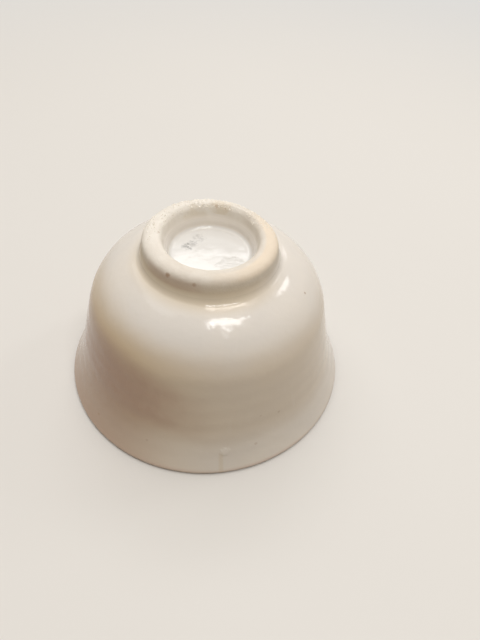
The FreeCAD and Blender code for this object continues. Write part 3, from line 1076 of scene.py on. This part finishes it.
# Soft lamps: the middle, the way the width runs, width and height, strength, and any tint.
LAMPS = {
    "ceiling": ((-0.1, 0.3, 0.76), (1, 0, 0), (0.9, 0.8), 0.95),
    "window": ((0.115, -0.099, 0.54), (1, -0.07, 0), (0.215, 0.09), 7.5),
    "left_gap": ((0.022, -0.142, 0.54), (1, 0.6, 0), (0.04, 0.075), 7.0),
    "middle_gap": ((0.125, -0.178, 0.54), (1, 0.7, 0), (0.036, 0.1), 7.0),
    "right_gap": ((0.215, -0.145, 0.54), (1, 0, 0), (0.018, 0.035), 5.0),
    "low_gap": ((0.14, -0.29, 0.54), (1, 0.5, 0), (0.022, 0.09), 2.5),
    "window_bar": ((0.08, 0.122, 0.54), (1, 0.157, 0), (0.165, 0.07), 5.6, DAYLIGHT_ON_WOOD),
    "side_window": ((0.34, 0.211, 0.335), (0.195, 0.71, -0.68), (0.13, 0.06), 4.5),
    "far_window": ((0.259, 0.398, 0.21), (0.21, -0.52, 0.83), (0.07, 0.01), 4.0),
    "back_window": ((0.01, 0.43, 0.46), (1, 0, 0), (0.3, 0.1), 2.0),
}
# The floor's reach in metres, and where it fades in millimetres.
FLOOR_REACH = 1.6
FLOOR_FADE = (130, 450)


def soft_lamp(name, middle, along, size, strength, tint=(1.0, 1.0, 1.0)):
    """A rectangular soft lamp that faces the bowl's foot.

    Its strength is its brightness as it is seen in the glaze.
    """
    lamp = bpy.data.lights.new(name, "AREA")
    lamp.shape = "RECTANGLE"
    lamp.size, lamp.size_y = size
    lamp.color = tint
    lamp.energy = strength * math.pi * size[0] * size[1] * bpy.context.scene.studio.lamps
    centre = Vector(middle)
    back = (centre - Vector((0, 0, bpy.context.scene.bowl_shape.height))).normalized()
    width = (Vector(along) - Vector(along).dot(back) * back).normalized()
    axes = Matrix((width, back.cross(width), back)).transposed()
    new_object(name, lamp).matrix_world = Matrix.Translation(centre) @ axes.to_4x4()


def in_sight(make):
    """1 for what is seen, straight or in a reflection, and 0 for the light that it gives."""
    path = make.add("ShaderNodeLightPath", {}, {})
    seen = make.maths("MAXIMUM", path["Is Camera Ray"], path["Is Glossy Ray"])
    return make.maths("MAXIMUM", seen, path["Is Transmission Ray"])


def floor_finish(floor, bounce):
    """Pale to the eye and in reflections, and darker in the light that it throws back."""
    finish = Finish("studio_floor")
    seen = in_sight(finish)
    mottle = finish.noise(finish.where, 0.01, 2.0)
    pale = finish.mix(mottle * 0.06, (*floor, 1.0), (1.0, 1.0, 1.0, 1.0))
    base = finish.mix(seen, (*bounce, 1.0), pale)
    lit = finish.add("ShaderNodeBsdfDiffuse", {}, {"Color": base})
    far = finish.add("ShaderNodeEmission", {}, {"Color": (*floor, 1.0)})
    fade = finish.ramp(finish.radius, *FLOOR_FADE) * seen
    shader = finish.add("ShaderNodeMixShader", {}, {0: fade, 1: lit, 2: far})
    finish.add("ShaderNodeOutputMaterial", {}, {"Surface": shader})
    return finish.material


def pale_world(fill, air, floor):
    """Even light from all sides.  To the eye, and in reflections, it has the floor's colour."""
    world = bpy.data.worlds.new("studio_air")
    bpy.context.scene.world = world
    world.use_nodes = True
    world.node_tree.nodes.clear()
    make = Maker(world.node_tree)
    tone = make.mix(in_sight(make), (*(fill * channel for channel in air), 1.0), (*floor, 1.0))
    light = make.add("ShaderNodeBackground", {}, {"Color": tone})
    make.add("ShaderNodeOutputWorld", {}, {"Surface": light})


class SetStage(bpy.types.Operator):
    """Lays the floor and sets the lamps and the camera"""

    bl_idname = "tea_bowl.set_stage"
    bl_label = "Set the Stage"

    def execute(self, context):
        scene = context.scene
        studio = scene.studio
        scene.view_settings.view_transform = "Standard"

        quarters = ((-1, -1), (1, -1), (1, 1), (-1, 1))
        corners = [(x * FLOOR_REACH, y * FLOOR_REACH, 0) for x, y in quarters]
        mesh = bpy.data.meshes.new("floor")
        mesh.from_pydata(corners, [], [(0, 1, 2, 3)])
        mesh.materials.append(floor_finish(studio.floor, studio.bounce))
        new_object("floor", mesh)
        pale_world(studio.fill, studio.air, studio.floor)
        for name, lamp in LAMPS.items():
            soft_lamp(name, *lamp)

        lens = bpy.data.cameras.new("camera")
        lens.sensor_width = 36.0
        lens.lens = studio.lens
        lens.clip_start = 5 * MM
        camera = new_object("camera", lens)
        stand = Vector(studio.camera)
        facing = (Vector(studio.aim) - stand).to_track_quat("-Z", "Y").to_matrix().to_4x4()
        tipped = Matrix.Rotation(studio.roll, 4, "Z")
        camera.matrix_world = Matrix.Translation(stand) @ facing @ tipped
        scene.camera = camera
        return {"FINISHED"}


class TeaBowlPanel(bpy.types.Panel):
    """Sizes, colours and steps of the tea bowl"""

    bl_idname = "VIEW3D_PT_tea_bowl"
    bl_label = "Tea Bowl"
    bl_space_type = "VIEW_3D"
    bl_region_type = "UI"
    bl_category = "Tea Bowl"

    def draw(self, context):
        for name in GROUPS:
            box = self.layout.box()
            box.label(text=name.replace("_", " ").capitalize())
            group = getattr(context.scene, name)
            for setting in group.__annotations__:
                box.prop(group, setting)
        for step in STEPS:
            self.layout.operator(step.bl_idname)


GROUPS = {
    "bowl_shape": BowlShape,
    "hand_marks": HandMarks,
    "kiln_grit": KilnGrit,
    "bowl_colours": BowlColours,
    "studio": Studio,
}
STEPS = (ThrowBowl, LuteFoot, GlazeBowl, ScatterGrit, SetStage)
CLASSES = (*GROUPS.values(), *STEPS, TeaBowlPanel)


def register():
    for cls in CLASSES:
        bpy.utils.register_class(cls)
    for name, group in GROUPS.items():
        setattr(bpy.types.Scene, name, PointerProperty(type=group))


def unregister():
    for name in GROUPS:
        delattr(bpy.types.Scene, name)
    for cls in reversed(CLASSES):
        bpy.utils.unregister_class(cls)


def main():
    register()
    bpy.ops.tea_bowl.throw_bowl()
    bpy.ops.tea_bowl.lute_foot()
    bpy.ops.tea_bowl.glaze_bowl()
    bpy.ops.tea_bowl.scatter_grit()
    bpy.ops.tea_bowl.set_stage()


if __name__ == "__main__":
    main()
